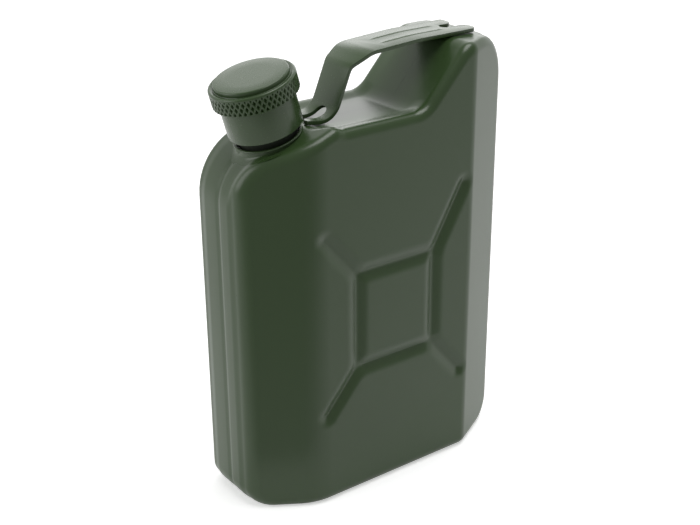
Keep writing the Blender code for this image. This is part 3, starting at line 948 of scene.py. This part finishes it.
def strap_course():
    """Side view of the strap's top surface as (across, up) points, from the foot to the hump."""
    foot_z = recess_z + piece_gap + strap_thickness
    tip_x = shoulder_end_x + strap_tip_offset
    heel_x = tip_x + strap_heel_offset
    bend_x = tip_x + strap_foot_run
    knee_x = bend_x + strap_knee_height / math.tan(strap_rise_angle)
    knee_z = foot_z + strap_knee_height
    turn_x = knee_x + strap_turn_run
    turn_z = knee_z + strap_turn_rise
    rest_x = turn_x + strap_rest_run
    rest_z = body_height + piece_gap + strap_thickness
    return rounded_path([
        (tip_x, foot_z + strap_tip_lift, 0.0),
        (heel_x, foot_z, strap_heel_radius),
        (bend_x, foot_z, strap_foot_radius),
        (knee_x, knee_z, strap_knee_radius),
        (turn_x, turn_z, strap_turn_radius),
        (rest_x, rest_z, strap_rest_radius),
        (rest_x + strap_hump_run, rest_z, 0.0),
    ], corner_steps, closed=False)


def strap_blank(total, riser_top):
    """Outline of the flat strap with its forked ends, as (along, across) points."""
    foot = strap_foot_width / 2
    side = strap_top_width / 2
    slot = fork_slot_width / 2
    slot_radius = slot * fork_slot_roundness
    left_radius = slot_radius + fork_left_near / 2
    wide = slot + fork_left_near
    far_end = total - fork_short_prong
    flare_end = riser_top + strap_flare_start
    flare_start = flare_end - strap_flare_run
    return rounded_path([
        (0.0, -foot, prong_outer_radius),
        (flare_start, -foot, strap_flare_radius),
        (flare_end, -side, strap_flare_radius),
        (total, -side, near_prong_radius),
        (total, -slot, prong_inner_radius),
        (total - fork_right_length, -slot, slot_radius),
        (total - fork_right_length, slot, slot_radius),
        (far_end, slot, prong_inner_radius),
        (far_end, side, prong_outer_radius),
        (flare_end, side, strap_flare_radius),
        (flare_start, foot, strap_flare_radius),
        (0.0, foot, prong_outer_radius),
        (0.0, slot, prong_inner_radius),
        (fork_left_length, slot, left_radius),
        (fork_left_length, -wide, left_radius),
        (0.0, -wide, prong_inner_radius),
    ], prong_steps)


def make_strap(material):
    """Strap handle: a flat blank with forked ends and two pressed beads, bent along its course."""
    course = strap_course()
    lengths = [0.0]
    for start, end in zip(course, course[1:]):
        lengths.append(lengths[-1] + (end - start).length)
    total = lengths[-1]
    riser_top = lengths[3 + 2 * corner_steps]
    turn_end = lengths[4 + 4 * corner_steps]
    bead_first = turn_end + bead_start
    bead_last = total - fork_right_length

    mesh = bmesh.new()
    verts = [mesh.verts.new((along, 0.0, across)) for along, across in strap_blank(total, riser_top)]
    edges = [mesh.edges.new((verts[i - 1], verts[i])) for i in range(len(verts))]
    bmesh.ops.contextual_create(mesh, geom=edges)
    for length in lengths[1:-1]:
        cut_faces(mesh, list(mesh.faces), (length, 0.0), (1, 0))
    for step in range(taper_steps + 1):
        taper = bead_taper * step / taper_steps
        cut_faces(mesh, list(mesh.faces), (bead_first + taper, 0.0), (1, 0))
        cut_faces(mesh, list(mesh.faces), (bead_last - taper, 0.0), (1, 0))
    for centre in (-bead_spacing / 2, bead_spacing / 2):
        for step in range(bead_steps + 1):
            level = centre + bead_width * (step / bead_steps - 0.5)
            near = [f for f in mesh.faces if bead_first < f.calc_center_median().x < bead_last]
            cut_faces(mesh, near, (0.0, level), (0, 1))
    # Up to here the blank is flat. Now it is bent along its course and gets its beads.
    for vert in mesh.verts:
        along, _, across = vert.co
        index = max(i for i in range(len(course) - 1) if lengths[i] <= along + hair)
        share = (along - lengths[index]) / (lengths[index + 1] - lengths[index])
        spot = course[index].lerp(course[index + 1], share)
        out = min(1.0, abs(abs(across) - bead_spacing / 2) / (bead_width / 2))
        rise = smooth_step((along - bead_first) / bead_taper)
        fall = smooth_step((bead_last - along) / bead_taper)
        lift = bead_height * rise * fall * (0.5 + 0.5 * math.cos(math.pi * out))
        vert.co = (spot.x, across, spot.y + lift)
    bmesh.ops.remove_doubles(mesh, verts=mesh.verts, dist=fine_merge_gap)
    bmesh.ops.recalc_face_normals(mesh, faces=mesh.faces)
    if sum(face.normal.z * face.calc_area() for face in mesh.faces) < 0:
        bmesh.ops.reverse_faces(mesh, faces=mesh.faces)
    strap = finish_mesh(mesh, "strap_forked", body_place, material)
    gauge = strap.modifiers.new("Gauge", "SOLIDIFY")
    gauge.thickness = strap_thickness
    gauge.offset = -1
    gauge.use_even_offset = True
    rounding = strap.modifiers.new("Rounding", "BEVEL")
    rounding.width = strap_edge_radius
    rounding.segments = 3
    rounding.limit_method = "ANGLE"
    rounding.angle_limit = rounded_edge
    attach(strap, "can")
    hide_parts("handle_strap")


def make_camera():
    """Camera at the photograph's viewing angle, solved from the flask's own edges: in front of the
    left side and above the flask."""
    right = Vector((0.80221282, -0.59702023, -0.00463029))
    down = Vector((-0.24572871, -0.32309636, -0.91390708))
    ahead = Vector((0.54412498, 0.73428577, -0.40589705))
    lens = bpy.data.cameras.new("camera")
    lens.sensor_width = 36
    lens.lens = 64.23
    lens.clip_start = 0.01
    camera = bpy.data.objects.new("camera", lens)
    place = Matrix((right, -down, -ahead)).transposed().to_4x4()
    place.translation = Vector((-0.17804446 + body_x, -0.23455133, 0.18767203))
    camera.matrix_world = place
    bpy.context.scene.collection.objects.link(camera)
    bpy.context.scene.camera = camera


def make_lamp(name, place, size, energy):
    """Soft box of this width and height, turned to the flask."""
    light = bpy.data.lights.new(name, "AREA")
    light.shape = "RECTANGLE"
    light.size, light.size_y = size
    light.energy = energy
    lamp = bpy.data.objects.new(name, light)
    lamp.location = place
    lamp.rotation_euler = (Vector(lamp_aim) - Vector(place)).to_track_quat("-Z", "Y").to_euler()
    bpy.context.scene.collection.objects.link(lamp)


def make_paper():
    """White paper floor. It shows white to the camera, and to metal and gloss, and keeps a shadow."""
    mesh = bmesh.new()
    bmesh.ops.create_grid(mesh, x_segments=1, y_segments=1, size=paper_reach)
    for vert in mesh.verts:
        vert.co.y = max(vert.co.y, paper_front)
    mesh.transform(Matrix.Rotation(paper_turn, 4, "Z"))
    data = bpy.data.meshes.new("floor")
    mesh.to_mesh(data)
    mesh.free()
    floor = bpy.data.objects.new("floor", data)
    bpy.context.scene.collection.objects.link(floor)
    material, shader = new_material("white_paper", 0.9)
    shader.inputs["Base Color"].default_value = linear("#f2f2f2")
    path = add_node(material, "ShaderNodeLightPath")
    shown = add_node(material, "ShaderNodeMath", [
        (0, path.outputs["Is Camera Ray"]), (1, path.outputs["Is Glossy Ray"])], operation="MAXIMUM")
    seen = add_node(material, "ShaderNodeMath", [
        (0, shown.outputs[0]), (1, path.outputs["Is Transmission Ray"])], operation="MAXIMUM")
    lift = add_node(material, "ShaderNodeMath", [
        (0, seen.outputs[0]), (1, paper_lift)], operation="MULTIPLY")
    white = add_node(material, "ShaderNodeMath", [
        (0, path.outputs["Is Camera Ray"]), (1, paper_white), (2, lift.outputs[0])],
        operation="MULTIPLY_ADD")
    shader.inputs["Emission Color"].default_value = (1, 1, 1, 1)
    material.node_tree.links.new(white.outputs[0], shader.inputs["Emission Strength"])
    data.materials.append(material)


def make_studio():
    """White studio round the flask, dim in front and above, where the photographer stands."""
    world = bpy.data.worlds.new("studio")
    world.use_nodes = True
    bpy.context.scene.world = world
    background = world.node_tree.nodes["Background"]
    outlook = add_node(world, "ShaderNodeTexCoord")
    facing = add_node(world, "ShaderNodeVectorMath", [
        (0, outlook.outputs["Generated"]), (1, dim_direction)], operation="DOT_PRODUCT")
    brightness = add_node(world, "ShaderNodeMapRange", [
        ("Value", facing.outputs["Value"]), ("From Min", dim_start), ("From Max", dim_end),
        ("To Min", studio_white), ("To Max", studio_dim)], interpolation_type="SMOOTHSTEP")
    path = add_node(world, "ShaderNodeLightPath")
    seen = add_node(world, "ShaderNodeMath", [
        (0, path.outputs["Is Camera Ray"]), (1, path.outputs["Is Transmission Ray"])],
        operation="MAXIMUM")
    mirrored = add_node(world, "ShaderNodeMath", [
        (0, path.outputs["Is Glossy Ray"]), (1, 1.0 / studio_white - 1.0), (2, 1.0)],
        operation="MULTIPLY_ADD")
    around = add_node(world, "ShaderNodeMath", [
        (0, brightness.outputs["Result"]), (1, mirrored.outputs[0])], operation="MULTIPLY")
    strength = add_node(world, "ShaderNodeMix", [
        ("Factor", seen.outputs[0]), ("A", around.outputs[0]), ("B", 1.0)])
    background.inputs["Color"].default_value = (1, 1, 1, 1)
    world.node_tree.links.new(strength.outputs["Result"], background.inputs["Strength"])


bpy.context.scene.view_settings.view_transform = "Standard"
make_camera()
make_paper()
make_studio()
make_lamp("softbox_left", (-0.95, 0.35, 0.45), (0.6, 0.8), 3.4)
make_lamp("softbox_top", (0.10, -0.12, 0.90), (0.7, 0.4), 4.0)
make_lamp("softbox_back", (0.62, 0.78, 0.42), (0.8, 0.5), 1.4)

# Satin green powder coat on pressed and turned steel. Its peel is about as fine as a thin coat's.
shell_coat = powder_coat("satin_powder_coat", ("#334827", "#354a28"),
                         0.45 * millimetre, 0.0018 * millimetre, 0.28)
trim_coat = powder_coat("satin_powder_coat_trim", ("#334827", "#354a28"),
                        0.4 * millimetre, 0.0016 * millimetre, 0.27)
# The same powder with a darker tone, as painted shade for the well that lies in shadow under the cap,
# and a rough matt finish without a sheen. Its grain is drawn coarser than a real coat's, which is too
# fine to show.
painted_shade_well_coat = powder_coat("well_coat_painted_shade", ("#1b2416", "#1f291a"),
                        0.3 * millimetre, 0.006 * millimetre, 0.8)
# Stainless steel, turned. The lathe's rings are drawn every 0.35 mm, because real ones, every 0.1 mm
# or so, are too fine to show.
neck_steel = turned_metal("turned_stainless_steel", ("#c9c8c4", "#a9a8a4"),
                          0.35 * millimetre, 0.006 * millimetre, 0.26)
# Polypropylene and silicone, moulded. Their skins are drawn coarser than a mould's real grain, which is
# too fine to show.
liner_plastic = moulded("moulded_polypropylene", ("#151614", "#1d1e1c"),
                        0.3 * millimetre, 0.004 * millimetre, 0.45)
gasket_rubber = moulded("moulded_silicone", ("#d9d7d0", "#cfcdc6"),
                        0.5 * millimetre, 0.004 * millimetre, 0.5)

make_shell("front_panel", "front_shell", True, shell_coat)
make_shell("back_panel", "back_shell", False, shell_coat)
make_collar(trim_coat)
# The well and its sleeve take the darkened coat: painted shade where the cap shadows them.
make_well(painted_shade_well_coat)
make_neck(neck_steel)
make_cap(trim_coat)
make_liner(liner_plastic)
make_gasket(gasket_rubber)
make_strap(trim_coat)

bpy.context.view_layer.update()
